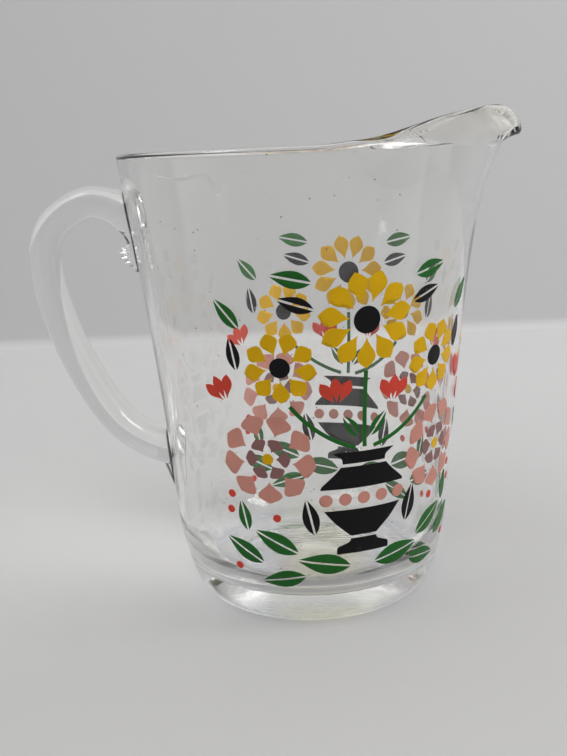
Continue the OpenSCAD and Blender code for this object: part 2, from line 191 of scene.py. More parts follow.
def add(tree, kind, inputs=(), **settings):
    """A node with its settings and its inputs."""
    node = tree.nodes.new(kind)
    for key, value in settings.items():
        setattr(node, key, value)
    for key, value in dict(inputs).items():
        fill(tree, node.inputs[key], value)
    return node


class Worked:
    """A number worked out at each point, so that a rule of the glass reads as a sum."""

    def __init__(self, tree, socket):
        self.tree, self.socket = tree, socket

    def step(self, operation, *others):
        inputs = dict(enumerate((self, *others)))
        node = add(self.tree, "ShaderNodeMath", inputs, operation=operation)
        return Worked(self.tree, node.outputs[0])

    def __add__(self, other):
        return self.step("ADD", other)

    def __sub__(self, other):
        return self.step("SUBTRACT", other)

    def __rsub__(self, other):
        return self.step("MULTIPLY", -1.0).step("ADD", other)

    def __mul__(self, other):
        return self.step("MULTIPLY", other)

    def __truediv__(self, other):
        return self.step("DIVIDE", other)

    def __pow__(self, other):
        return self.step("POWER", other)

    def __neg__(self):
        return self.step("MULTIPLY", -1.0)

    __radd__ = __add__
    __rmul__ = __mul__

    def cos(self):
        return self.step("COSINE")

    def sin(self):
        return self.step("SINE")

    def exp(self):
        return self.step("EXPONENT")

    def size(self):
        return self.step("ABSOLUTE")

    def clipped(self):
        return self.step("MAXIMUM", 0.0).step("MINIMUM", 1.0)

    def bulged(self, power):
        """The number raised to a power, with its sign kept."""
        return self.step("SIGN") * self.size() ** power


class Arrow:
    """A vector worked out at each point."""

    def __init__(self, tree, socket):
        self.tree, self.socket = tree, socket

    @classmethod
    def of(cls, tree, x, y, z):
        return cls(tree, add(tree, "ShaderNodeCombineXYZ", {0: x, 1: y, 2: z}).outputs[0])

    def step(self, operation, **others):
        names = {"other": 1, "scale": "Scale"}
        inputs = {0: self, **{names[key]: value for key, value in others.items()}}
        return add(self.tree, "ShaderNodeVectorMath", inputs, operation=operation)

    def __add__(self, other):
        return Arrow(self.tree, self.step("ADD", other=other).outputs[0])

    def __sub__(self, other):
        return Arrow(self.tree, self.step("SUBTRACT", other=other).outputs[0])

    def __mul__(self, scale):
        return Arrow(self.tree, self.step("SCALE", scale=scale).outputs[0])

    def across(self, other):
        return Arrow(self.tree, self.step("CROSS_PRODUCT", other=other).outputs[0])

    def along(self, other):
        return Worked(self.tree, self.step("DOT_PRODUCT", other=other).outputs["Value"])

    def unit(self):
        return Arrow(self.tree, self.step("NORMALIZE").outputs[0])

    def length(self):
        return Worked(self.tree, self.step("LENGTH").outputs["Value"])

    def parts(self):
        node = add(self.tree, "ShaderNodeSeparateXYZ", {0: self})
        return [Worked(self.tree, socket) for socket in node.outputs]


def new_tree(name, kind, inputs, outputs):
    """A node group with named inputs, each a socket type or a number's starting value."""
    tree = bpy.data.node_groups.new(name, kind)
    for in_out, sockets in (("INPUT", inputs), ("OUTPUT", outputs)):
        for label, given in sockets.items():
            named = isinstance(given, str)
            socket_type = f"NodeSocket{given}" if named else "NodeSocketFloat"
            if isinstance(given, int):
                socket_type = "NodeSocketInt"
            socket = tree.interface.new_socket(label, in_out=in_out, socket_type=socket_type)
            if not named:
                socket.default_value = given
    node = add(tree, "NodeGroupInput")
    return tree, {s.name: Worked(tree, s) for s in node.outputs if s.name}


def placed(tree, group, given, **own):
    """A node group put in a tree, fed by the tree's inputs of the same names and by its own."""
    kind = "GeometryNodeGroup" if tree.bl_idname == "GeometryNodeTree" else "ShaderNodeGroup"
    node = add(tree, kind, node_tree=group)
    wanted = {socket.name for socket in node.inputs if socket.name}
    for name, value in {**given, **own}.items():
        if name in wanted:
            fill(tree, node.inputs[name], value)
    return node.outputs


def ramp(value, low, high, first=0.0, last=1.0, **settings):
    """From the first number at the low value to the last at the high one, which may be the lesser."""
    inputs = {"Value": value, "From Min": low, "From Max": high, "To Min": first, "To Max": last}
    return Worked(value.tree, add(value.tree, "ShaderNodeMapRange", inputs, **settings).outputs[0])


# The rule of the vessel's skin, at a direction and a way up from the start of the spout

VESSEL_SIZES = {
    "Rim height": RIM_H,
    "Rim width": RIM_D,
    "Waist width": WAIST_D,
    "Foot width": FOOT_D,
    "Heel height": HEEL_H,
    "Wall": WALL_T,
    "Floor": FLOOR_T,
    "Floor width": FLOOR_D,
    "Inner heel height": INNER_HEEL_H,
    "Foot ring": FOOT_RING_W,
    "Hollow": KICK_H,
    "Spout reach": SPOUT_REACH,
    "Spout depth": SPOUT_DEPTH,
    "Throat pull": THROAT_PULL,
    "Cheek rise": CHEEK_RISE,
    "Cheek pinch": CHEEK_PINCH,
    "Lip dip": LIP_DIP,
    "Lip bead": LIP_BEAD,
    "Crease drop": CREASE_DROP,
    "Crease lift": CREASE_LIFT,
    "Ripple": RIPPLE,
}


def wall_r(z, sizes=None):
    """Outer radius of the plain wall at a height, as numbers or in a tree."""
    if sizes is None:
        sizes = VESSEL_SIZES
    low, rim = sizes["Heel height"], sizes["Rim height"]
    waist, top = sizes["Waist width"], sizes["Rim width"]
    s = (z - low) / (rim - low)
    return waist / 2 + (top - waist) / 2 * s * ((1 - FLARE_SHARE) + s * FLARE_SHARE)


def bell(turn, spread):
    s = turn / spread
    return (-(s * s)).exp()


def skin_place_tree():
    """Where the skin of the upper wall lies: the flare up to the crease, then the lip to its edge."""
    tree, given = new_tree(
        "skin_place",
        "GeometryNodeTree",
        {"Turn": 0.0, "Way": 0.0, **VESSEL_SIZES},
        {"Place": "Vector", "Lip way": "Float", "Flare way": "Float"},
    )
    turn, way = given["Turn"].size(), given["Way"]
    spread = (turn / SPOUT_SPREAD).step("MINIMUM", 1.0)
    pinch = (spread * math.pi).sin()
    start = given["Rim height"] - given["Spout depth"]
    flare = given["Rim height"] - given["Crease drop"] - start
    fade = ((turn - CREASE_FADE_FROM) / (CREASE_FADE_TO - CREASE_FADE_FROM)).clipped()
    fade = fade * fade * (3.0 - fade * 2.0)
    pinch_share = fade * (1 - CREASE_PINCH_SHARE) + CREASE_PINCH_SHARE
    pulled = given["Throat pull"] * bell(turn, THROAT_SPREAD)
    pinched = given["Cheek pinch"] * pinch * pinch
    rise = flare + given["Crease lift"] * pinch

    def flare_point(s):
        z = start + rise * s
        r = wall_r(z, given) + pulled * s**THROAT_POWER - pinched * pinch_share * s**CHEEK_POWER
        return r, z

    crease_z = start + rise
    crease_r = wall_r(crease_z, given) + pulled - pinched * pinch_share
    edge_z = given["Rim height"] - given["Wall"] / 2
    edge_r = wall_r(edge_z, given) - pinched
    edge_r += (given["Spout reach"] - given["Rim width"] / 2) * bell(turn, TIP_SPREAD)
    edge_z += given["Cheek rise"] * (spread * (math.pi / 2)).cos() ** 2.0
    edge_z -= given["Lip dip"] * bell(turn, DIP_SPREAD)
    out, up = edge_r - crease_r, edge_z - crease_z
    lip = (out * out + up * up) ** 0.5

    r, z = flare_point((way / flare).clipped())
    s = ((way - flare) / lip).clipped()
    r += out * s * (s + (1.0 - s) * (2 * LEAN_SHARE))
    z += up * s * (s + (1.0 - s) * (2 * LIFT_SHARE))
    place = Arrow.of(tree, r * given["Turn"].cos(), r * given["Turn"].sin(), z)
    add(tree, "NodeGroupOutput", {"Place": place, "Lip way": lip, "Flare way": flare})
    return tree


def skin_tree():
    """A point of the skin with the direction into the wall there, averaged over a short way."""
    tree, given = new_tree(
        "skin",
        "GeometryNodeTree",
        {"Turn": 0.0, "Way": 0.0, **VESSEL_SIZES},
        {"Place": "Vector", "Inward": "Vector", "Up": "Vector"},
    )
    turn, way = given["Turn"], given["Way"]

    def place(**own):
        return Arrow(tree, placed(tree, skin_place, given, **own)["Place"])

    here = placed(tree, skin_place, given)
    end = Worked(tree, here["Flare way"]) + Worked(tree, here["Lip way"])
    round_way = place(Turn=turn + NUDGE) - place(Turn=turn - NUDGE)
    above = (way + EVEN_SPAN).step("MINIMUM", end)
    below = (way - EVEN_SPAN).step("MAXIMUM", 0.0)
    inward = (place(Way=above) - place(Way=below)).across(round_way).unit()

    # Level where the spout starts, square to the skin from the crease upwards
    x, y, z = inward.parts()
    square = (way / Worked(tree, here["Flare way"])).clipped()
    inward = Arrow.of(tree, x, y, z * square).unit()
    up = (place(Way=end) - place(Way=end - RIM_STEP)).unit()
    add(tree, "NodeGroupOutput", {"Place": here["Place"], "Inward": inward, "Up": up})
    return tree


def band(tree, rows, columns=COLUMNS):
    """A sheet of faces with its shares up the rows and round the columns."""
    sizes = {"Size X": 1.0, "Size Y": 1.0, "Vertices X": rows + 1, "Vertices Y": columns + 1}
    sheet = add(tree, "GeometryNodeMeshGrid", sizes).outputs["Mesh"]
    place = Arrow(tree, add(tree, "GeometryNodeInputPosition").outputs[0])
    u, v, _ = place.parts()
    return sheet, u + 0.5, v + 0.5


def ripple(turn, z, sizes):
    """The slow waves of a pressed wall, which bend what is seen through it."""
    h = z / sizes["Rim height"]
    waves = sum((turn * a + h * b + start).sin() * share for a, b, start, share in RIPPLE_WAVES)
    return sizes["Ripple"] * waves * ((RIPPLE_TOP - z) / RIPPLE_FADE).clipped()


def vessel_tree():
    """The whole vessel in bands, from under the foot, up, over the rim and down to the floor."""
    tree, given = new_tree(
        "clear_vessel",
        "GeometryNodeTree",
        {**VESSEL_SIZES, "Glass": "Material"},
        {"Vessel": "Geometry"},
    )
    wall, floor = given["Wall"], given["Floor"]
    start = given["Rim height"] - given["Spout depth"]
    flare = given["Spout depth"] - given["Crease drop"]
    inner_top = floor + given["Inner heel height"]
    hollow_r = given["Foot width"] / 2 - given["Foot ring"]
    sheets = []

    def columns(v):
        return (v * 2.0 - 1.0).bulged(COLUMN_POWER) * math.pi

    def laid(sheet, place, warmth=0.0):
        moved = add(tree, "GeometryNodeSetPosition", {"Geometry": sheet, "Position": place}).outputs[0]
        warm = {"Geometry": moved, "Name": "warm_edge", "Value": warmth}
        stored = add(tree, "GeometryNodeStoreNamedAttribute", warm, data_type="FLOAT", domain="POINT")
        sheets.append(stored.outputs[0])

    def turned(rows, outline, waved=None, downwards=False):
        """A band whose outline of radius and height is the same all round, apart from its waves."""
        sheet, u, v = band(tree, rows)
        u = 1.0 - u if downwards else u
        turn = columns(v)
        r, z = outline(u)
        if waved:
            r = r + ripple(turn, z, given) * waved(u)
        laid(sheet, Arrow.of(tree, r * turn.cos(), r * turn.sin(), z))

    def hollow(u):
        return hollow_r * u, given["Hollow"] * (u * (math.pi / 2)).cos()

    def foot(u):
        return hollow_r + given["Foot ring"] * u, 0.0

    def heel(first, height, inset, drop):
        def outline(u):
            z = first + height * (1.0 - (u * (math.pi / 2)).cos())
            return wall_r(z, given) - drop - inset * (1.0 - (u * (math.pi / 2)).sin()), z

        return outline

    def plain_wall(low, high, drop):
        def outline(u):
            z = low + (high - low) * u
            return wall_r(z, given) - drop, z

        return outline

    def floor_disc(u):
        return u * (given["Floor width"] / 2), floor

    def spout_band(rows, way_of, side):
        """The upper wall's outside or inside, over a way from the start of the spout."""
        sheet, u, v = band(tree, rows)
        turn = columns(v)
        lip = Worked(tree, placed(tree, skin_place, given, Turn=turn)["Lip way"])
        way = way_of(u, lip)
        laid(sheet, side(turn, way, lip), (1.0 - (flare + lip - way) / WARM_EDGE).clipped())

    def outside(turn, way, lip):
        """The lip swells to its rolled edge, and a fine furrow marks the crease under it."""
        skin = placed(tree, skin_rule, given, Turn=turn, Way=way)
        share = ((way - flare) / lip).clipped()
        bead = given["Lip bead"] * bell(turn, BEAD_SPREAD) * share * share
        furrow = bell(way - flare, CREASE_W) * bell(turn, CREASE_SPREAD) * CREASE_DEPTH
        return Arrow(tree, skin["Place"]) + Arrow(tree, skin["Inward"]) * (furrow - bead)

    def inside(turn, way, lip):
        skin = placed(tree, skin_rule, given, Turn=turn, Way=way)
        place = Arrow(tree, skin["Place"]) + Arrow(tree, skin["Inward"]) * wall
        x, y, z = place.parts()
        away = Arrow.of(tree, x, y, 0.0).unit()
        return place + away * ripple(turn, z, given)

    def flare_way(u, lip):
        return flare * (1.0 - (1.0 - u) ** ROW_POWER)

    def lip_way(u, lip):
        return flare + lip * u

    def back(way_of):
        return lambda u, lip: way_of(1.0 - u, lip)

    inset = wall_r(0.0, given) - given["Foot width"] / 2
    inner_inset = wall_r(floor, given) - wall - given["Floor width"] / 2
    turned(HOLLOW_ROWS, hollow)
    turned(1, foot)
    turned(HEEL_ROWS, heel(0.0, given["Heel height"], inset, 0.0))
    turned(WALL_ROWS, plain_wall(given["Heel height"], start, 0.0))
    spout_band(SPOUT_ROWS, flare_way, outside)
    spout_band(LIP_ROWS, lip_way, outside)

    sheet, u, v = band(tree, RIM_ROWS)
    turn = columns(v)
    lip = Worked(tree, placed(tree, skin_place, given, Turn=turn)["Lip way"])
    end = flare + lip
    near, far = outside(turn, end, lip), inside(turn, end, lip)
    half = (near - far) * 0.5
    rise = Arrow(tree, placed(tree, skin_rule, given, Turn=turn, Way=end)["Up"]) * half.length()
    roll = u * math.pi
    laid(sheet, (near + far) * 0.5 + half * roll.cos() + rise * roll.sin(), 1.0)

    spout_band(LIP_ROWS, back(lip_way), inside)
    spout_band(SPOUT_ROWS, back(flare_way), inside)
    inner_heel = heel(floor, given["Inner heel height"], inner_inset, wall)
    turned(WALL_ROWS, plain_wall(inner_top, start, wall), waved=lambda u: 1.0, downwards=True)
    turned(INNER_HEEL_ROWS, inner_heel, waved=lambda u: 1.0, downwards=True)
    turned(FLOOR_ROWS, floor_disc, waved=lambda u: u, downwards=True)

    whole = add(tree, "GeometryNodeJoinGeometry")
    for sheet in reversed(sheets):
        tree.links.new(sheet, whole.inputs[0])
    sealed = add(tree, "GeometryNodeMergeByDistance", {"Geometry": whole.outputs[0], "Distance": SEAM})
    outwards = add(tree, "GeometryNodeFlipFaces", {"Mesh": sealed.outputs[0]}).outputs[0]
    finished(tree, outwards, given["Glass"], "Vessel")
    return tree


def finished(tree, geometry, material, label):
    """The end of each tree: real geometry in its material."""
    real = add(tree, "GeometryNodeRealizeInstances", {0: geometry}).outputs[0]
    clad = add(tree, "GeometryNodeSetMaterial", {"Geometry": real, "Material": material}).outputs[0]
    add(tree, "NodeGroupOutput", {label: clad})


# The handle and its tails, drawn along their paths


def drawn_tree():
    """Glass drawn along a path: the path's rows carry how thick and how wide it is there."""
    tree, given = new_tree(
        "drawn_glass",
        "GeometryNodeTree",
        {
            "Path": "Geometry",
            "Rows": HANDLE_ROWS,
            "Sides": HANDLE_SIDES,
            "Squareness": HANDLE_SQUARE,
            "Level rows": 0.0,
            "Crimps": 0,
            "Crimp depth": CRIMP_DEPTH,
            "Crimp start": CRIMP_START_SHARE,
            "Glass": "Material",
        },
        {"Drawn": "Geometry"},
    )
    line = add(tree, "GeometryNodeMeshToCurve", {"Mesh": given["Path"]}).outputs[0]
    smooth = add(tree, "GeometryNodeCurveSplineType", {"Curve": line}, spline_type="CATMULL_ROM")
    rows = given["Rows"]
    even = {"Curve": smooth.outputs[0], "Count": rows + 1.0}
    path = add(tree, "GeometryNodeResampleCurve", even, mode="COUNT").outputs[0]

    # One row more at each end shrinks to the middle and closes the end
    sheet, u, v = band(tree, rows + 2.0, given["Sides"])
    row = (u * (rows + 2.0) - 1.0).step("ROUND")
    index = row.step("MAXIMUM", 0.0).step("MINIMUM", rows)
    open_row = (row - index).step("COMPARE", 0.0, 0.5)

    def along(kind, value):
        wanted = {"Geometry": path, "Value": value, "Index": index}
        return add(tree, "GeometryNodeSampleIndex", wanted, data_type=kind, domain="POINT").outputs[0]

    def carried(name):
        named = add(tree, "GeometryNodeInputNamedAttribute", {"Name": name}, data_type="FLOAT")
        return Worked(tree, along("FLOAT", named.outputs[0]))

    place = Arrow(tree, along("FLOAT_VECTOR", add(tree, "GeometryNodeInputPosition").outputs[0]))
    way = Arrow(tree, along("FLOAT_VECTOR", add(tree, "GeometryNodeInputTangent").outputs[0]))
    down, across = Arrow.of(tree, 0.0, 0.0, -1.0), Arrow.of(tree, 0.0, 1.0, 0.0)
    way = way * (1.0 - given["Level rows"]) + down * given["Level rows"]
    outwards = way.across(across).unit()

    share = ((index / rows - given["Crimp start"]) / (1.0 - given["Crimp start"])).clipped()
    valley = given["Crimp depth"] * (1.0 - (share * given["Crimps"] * (2 * math.pi)).cos())
    thick = (carried("thick") - valley) / 2 * open_row
    wide = carried("wide") / 2 * open_row
    turn = v * (2 * math.pi)
    out = outwards * (turn.cos().bulged(given["Squareness"]) * thick)
    side = across * (turn.sin().bulged(given["Squareness"]) * wide)
    moved = {"Geometry": sheet, "Position": place + out + side}
    swept = add(tree, "GeometryNodeSetPosition", moved).outputs[0]
    sealed = add(tree, "GeometryNodeMergeByDistance", {"Geometry": swept, "Distance": SEAM})
    finished(tree, sealed.outputs[0], given["Glass"], "Drawn")
    return tree


def add_piece(name, data):
    piece = bpy.data.objects.new(name, data)
    bpy.context.scene.collection.objects.link(piece)
    return piece


def applied(piece):
    """The piece with its modifiers turned into a plain mesh."""
    bpy.context.view_layer.update()
    depsgraph = bpy.context.evaluated_depsgraph_get()
    mesh = bpy.data.meshes.new_from_object(piece.evaluated_get(depsgraph))
    piece.modifiers.clear()
    old, piece.data = piece.data, mesh
    bpy.data.meshes.remove(old)
    return piece


def made_by(piece, tree, values):
    """The piece as its tree makes it from the sizes and things given."""
    modifier = piece.modifiers.new(tree.name, "NODES")
    modifier.node_group = tree
    for item in tree.interface.items_tree:
        if item.in_out == "INPUT" and item.name in values:
            modifier[item.identifier] = values[item.name]
    return applied(piece)


def clad(piece, material):
    """One material all over."""
    piece.data.materials.clear()
    piece.data.materials.append(material)
    piece.data.polygons.foreach_set("material_index", [0] * len(piece.data.polygons))


def drawn(name, rows, values):
    """Glass drawn along rows of distance out, height, thickness and width."""
    rows = np.array(rows)
    mesh = bpy.data.meshes.new(name)
    points = [(x, 0, z) for x, z in rows[:, :2]]
    mesh.from_pydata(points, [(i, i + 1) for i in range(len(rows) - 1)], [])
    for label, column in (("thick", 2), ("wide", 3)):
        mesh.attributes.new(label, "FLOAT", "POINT").data.foreach_set("value", rows[:, column])
    return made_by(add_piece(name, mesh), drawn_glass, values)


def strap_rows():
    z = LOWER_JOINT_H + PATH_SHARES[:, 1] * (UPPER_JOINT_H - LOWER_JOINT_H)
    x = -wall_r(z) - PATH_SHARES[:, 0] * HANDLE_OUT
    return np.stack([x, z, HANDLE_T * PATH_SHARES[:, 2], HANDLE_W * PATH_SHARES[:, 3]], 1)


def tail_rows(top, length, thick, wide):
    """Rows down the wall, with half of each thickness outside it."""
    s = np.linspace(0, 1, len(thick))
    z = top - length * s
    return np.stack([-wall_r(z), z, 2 * thick, wide], 1)


def crimped_rows():
    s = np.linspace(0, 1, CRIMP_POINTS)
    round_off = np.sqrt(1 - CRIMP_END_SHARE * s**CRIMP_END_POWER)
    thick = CRIMP_TAIL_T * np.interp(s, *zip(*CRIMP_THICK_SHARES))
    top = UPPER_JOINT_H - HANDLE_T * PATH_SHARES[1][2] / 2 + WALL_T
    return tail_rows(top, CRIMP_TAIL_L, thick * round_off, CRIMP_TAIL_W * round_off)


def thin_rows():
    s = np.linspace(0, 1, THIN_POINTS)
    thick = THIN_TAIL_T * (1 - THIN_TAPER_SHARE * s)
    wide = THIN_TAIL_W * (1 - THIN_NARROW_SHARE * s * s)
    top = LOWER_JOINT_H - HANDLE_T * PATH_SHARES[-2][2] / 2 + WALL_T
    return tail_rows(top, THIN_TAIL_L, thick, wide)


def core_rows():
    """The round vessel as a solid block, a hair smaller than its outside."""
    z = np.linspace(0, RIM_H + HANDLE_T, CORE_ROWS)
    across = 2 * (wall_r(z) - HANDLE_SINK)
    return np.stack([0 * z, z, across, across], 1)


def joined(piece, other, operation):
    """Makes one closed solid of two, and the second is used up."""
    join = piece.modifiers.new("join", "BOOLEAN")
    join.operation, join.solver, join.object = operation, "EXACT", other
    applied(piece)
    bpy.data.meshes.remove(other.data)


def applied_handle():
    """The drawn strap and its two tails as one solid, pressed a hair into the wall."""
    strap = drawn("handle", strap_rows(), {})
    crimped, thin = {"Crimps": CRIMPS, "Level rows": 1.0}, {"Rows": THIN_ROWS, "Level rows": 1.0}
    joined(strap, drawn("crimps", crimped_rows(), crimped), "UNION")
    joined(strap, drawn("thin", thin_rows(), thin), "UNION")
    round_block = {"Rows": CORE_ROWS, "Sides": CORE_SIDES, "Squareness": 1.0}
    joined(strap, drawn("core", core_rows(), round_block), "DIFFERENCE")
    strap.data.shade_smooth()
    strap.data.set_sharp_from_angle(angle=HANDLE_SHARP_FROM)
    return strap


def merged_copy(node, name):
    """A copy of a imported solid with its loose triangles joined."""
    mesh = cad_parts[node].data.copy()
    mesh.materials.clear()
    bm = bmesh.new()
    bm.from_mesh(mesh)
    bmesh.ops.remove_doubles(bm, verts=bm.verts, dist=SEAM)
    bm.to_mesh(mesh)
    bm.free()
    return add_piece(name, mesh)


# The print

ENAMEL_T = 0.2 * MM
ENAMEL_SINK = 0.08 * MM
ENAMEL_SHARP_FROM = math.radians(40)

# Each colour as it was fired, and where it is rubbed
ENAMELS = {
    "green": ((0.014, 0.105, 0.016), (0.25, 0.36, 0.22)),
    "yellow": ((0.600, 0.345, 0.002), (0.75, 0.62, 0.30)),
    "red": ((0.520, 0.050, 0.030), (0.75, 0.33, 0.26)),
    "pink": ((0.500, 0.220, 0.175), (0.66, 0.42, 0.36)),
    "mauve": ((0.210, 0.105, 0.100), (0.36, 0.25, 0.26)),
    "black": ((0.005, 0.005, 0.006), (0.16, 0.16, 0.16)),
}


def enamel_tree():
    """Lays a flat print's solid onto the glass: its back sinks in a hair, its front stands proud."""
    tree, given = new_tree(
        "enamel_on_glass",
        "GeometryNodeTree",
        {
            "Print": "Geometry",
            "Glass": "Object",
            "Thickness": ENAMEL_T,
            "Sink": ENAMEL_SINK,
            "Enamel": "Material",
        },
        {"Laid": "Geometry"},
    )
    x, y, _ = Arrow(tree, add(tree, "GeometryNodeInputPosition").outputs[0]).parts()
    outwards = Arrow.of(tree, x, y, 0.0).unit()
    normal = Arrow(tree, add(tree, "GeometryNodeInputNormal").outputs[0])
    is_front = normal.along(outwards).step("GREATER_THAN", 0.0)
    mark = {"Geometry": given["Print"], "Name": "front", "Value": is_front}
    marked = add(tree, "GeometryNodeStoreNamedAttribute", mark, data_type="FLOAT", domain="POINT")
    fine = add(tree, "GeometryNodeSubdivideMesh", {"Mesh": marked.outputs[0], "Level": 1})

    glass = add(tree, "GeometryNodeObjectInfo", {"Object": given["Glass"]}).outputs["Geometry"]
    near = add(tree, "GeometryNodeProximity", {0: glass}, target_element="FACES").outputs["Position"]
    front = add(tree, "GeometryNodeInputNamedAttribute", {"Name": "front"}, data_type="FLOAT")
    stand = ramp(Worked(tree, front.outputs[0]), 0.0, 1.0, -given["Sink"], given["Thickness"])
    target = {"Geometry": fine.outputs[0], "Position": Arrow(tree, near) + outwards * stand}
    laid = add(tree, "GeometryNodeSetPosition", target).outputs[0]
    finished(tree, laid, given["Enamel"], "Laid")
    return tree


# Helpers for surfaces


def object_place(tree):
    return Arrow(tree, add(tree, "ShaderNodeTexCoord").outputs["Object"])


def clouds(place, scale, detail=2.0):
    inputs = {"Vector": place, "Scale": scale, "Detail": detail}
    return Worked(place.tree, add(place.tree, "ShaderNodeTexNoise", inputs).outputs["Fac"])


def from_dots(place, scale):
    """How far the nearest of many scattered dots is, in shares of their spacing."""
    dots = add(place.tree, "ShaderNodeTexVoronoi", {"Vector": place, "Scale": scale})
    return Worked(place.tree, dots.outputs["Distance"])


def drawn_out(place, shares, turned=(0.0, 0.0, 0.0)):
    """The place squeezed by a share along each axis, so that a pattern there is drawn out."""
    inputs = {"Vector": place, "Rotation": turned, "Scale": shares}
    return Arrow(place.tree, add(place.tree, "ShaderNodeMapping", inputs).outputs[0])


def mixed(share, first, second):
    return add(share.tree, "ShaderNodeMix", {0: share, 6: first, 7: second}, data_type="RGBA").outputs[2]


def new_material(name):
    material = bpy.data.materials.new(name)
    material.use_nodes = True
    material.node_tree.nodes.clear()
    return material, material.node_tree


def raised(tree, height, strength, distance):
    inputs = {"Height": height, "Strength": strength, "Distance": distance}
    return add(tree, "ShaderNodeBump", inputs).outputs[0]


# The glass

GLASS_IOR = 1.5
CLEAR = (0.992, 0.992, 0.984, 1)
HANDLE_CLEAR = (0.99, 0.99, 0.984, 1)
GLASS_RELIEF = 0.1 * MM
WAVE_DETAIL = 1.0
VESSEL_WAVES = {"Wave scale": 22.0, "Wave height": 0.3}
HANDLE_WAVES = {"Wave scale": 45.0, "Wave height": 0.4}

# Dust and scratches
WORN_ROUGHNESS = 0.1
WORN_DEPTH = 0.02
SCRATCH_SCALE = 500.0
SCRATCH_DETAIL = 3.0
SCRATCH_SHARES = (1, 1, 0.05)
SCRATCH_TURN = (0.5, 0.3, 0.9)
SCRATCH_EDGE = (0.70, 0.78)
SPECK_SCALE = 300.0
SPECK_EDGE = (0.10, 0.06)
WORN_PATCH_SCALE = 60.0
WORN_PATCH_EDGE = (0.52, 0.62)

# The fire-polished rim and the lip, with the scorched grains round the spout
RIM_WARM = (0.955, 0.944, 0.918, 1)
LIP_WARM = (0.980, 0.971, 0.932, 1)
RIM_BROWN = (0.34, 0.295, 0.23, 1)
SCORCH_FULL = 30 * MM
GRAIN_SCALE = 900.0
GRAIN_EDGE = (0.5, 0.3)
RUN_SCALE = 70.0
RUN_EDGE = (0.45, 0.6)
SCORCH_EDGE = (0.55, 0.8)

# The painted shimmer in the heel and underside, a cold painted shade on its sides and a warm painted
# glint across its middle, and the streaks there
HEEL_BAND_H = 12 * MM
HEEL_SHADE_COLD = (0.80, 0.83, 0.90, 1)
HEEL_GLINT_WARM = (0.94, 0.94, 0.76, 1)
GLINT_X = 6 * MM
GLINT_W = 18 * MM
GLINT_EDGE = (0.75 * GLINT_W, 1.6 * GLINT_W)
GLINT_WAVER = GLINT_W / 3
GLINT_PATCHES = 90.0
STREAK_SCALE = 900.0
STREAK_DETAIL = 3.0
STREAK_SHARES = (0.06, 1, 1)

# Seeds, and the painted shade line round a joint
SEED_COLOUR = (0.14, 0.12, 0.10, 1)
SEED_SCALE = 130.0
SEED_EDGE = (0.05, 0.035)
# Colour of the painted shade in the crevice round a joint
JOINT_SHADE = (0.003, 0.005, 0.002, 1)
JOINT_NEAR = 0.7 * MM
JOINT_FAR = 1.2 * MM
JOINT_SIDE = (0.96, 0.9)


def glass_marks_group():
    """Fine scratches, dust specks and the soft waves of hot glass, as roughness and height."""
    tree, given = new_tree(
        "glass_marks",
        "ShaderNodeTree",
        {
            "Wave scale": VESSEL_WAVES["Wave scale"],
            "Wave height": VESSEL_WAVES["Wave height"],
            "Scratch scale": SCRATCH_SCALE,
            "Speck scale": SPECK_SCALE,
            "Worn roughness": WORN_ROUGHNESS,
        },
        {"Roughness": "Float", "Height": "Float"},
    )
    place = object_place(tree)
    long_place = drawn_out(place, SCRATCH_SHARES, SCRATCH_TURN)
    scratch = ramp(clouds(long_place, given["Scratch scale"], SCRATCH_DETAIL), *SCRATCH_EDGE)
    speck = ramp(from_dots(place, given["Speck scale"]), *SPECK_EDGE)
    patches = ramp(clouds(place, WORN_PATCH_SCALE), *WORN_PATCH_EDGE)
    worn = scratch.step("MAXIMUM", speck) * patches
    height = clouds(place, given["Wave scale"], WAVE_DETAIL) * given["Wave height"] - worn * WORN_DEPTH
    roughness = worn * given["Worn roughness"]
    add(tree, "NodeGroupOutput", {"Roughness": roughness, "Height": height})
    return tree


def joint_shade_group():
    """Where a surface comes close to the wall but doesn't lie on it: a painted shade line round a joint,
    standing in for the shade in the crevice there.
    """
    tree, given = new_tree(
        "joint_shade", "ShaderNodeTree", {"Near": JOINT_NEAR, "Far": JOINT_FAR}, {"Line": "Float"}
    )
    x, y, height = object_place(tree).parts()
    level = Arrow.of(tree, x, y, 0.0)
    gap = level.length() - wall_r(height)
    normal = Arrow(tree, add(tree, "ShaderNodeNewGeometry").outputs["True Normal"])
    aside = ramp(normal.along(level.unit()).size(), *JOINT_SIDE)
    # Painted shade: the glass darkens where it nears the wall beside a joint
    line = ramp(gap, given["Far"], given["Near"]) * aside
    add(tree, "NodeGroupOutput", {"Line": line})
    return tree


def seeded(place, colour):
    """The colour with tiny dark seeds in it."""
    return mixed(ramp(from_dots(place, SEED_SCALE), *SEED_EDGE), colour, SEED_COLOUR)


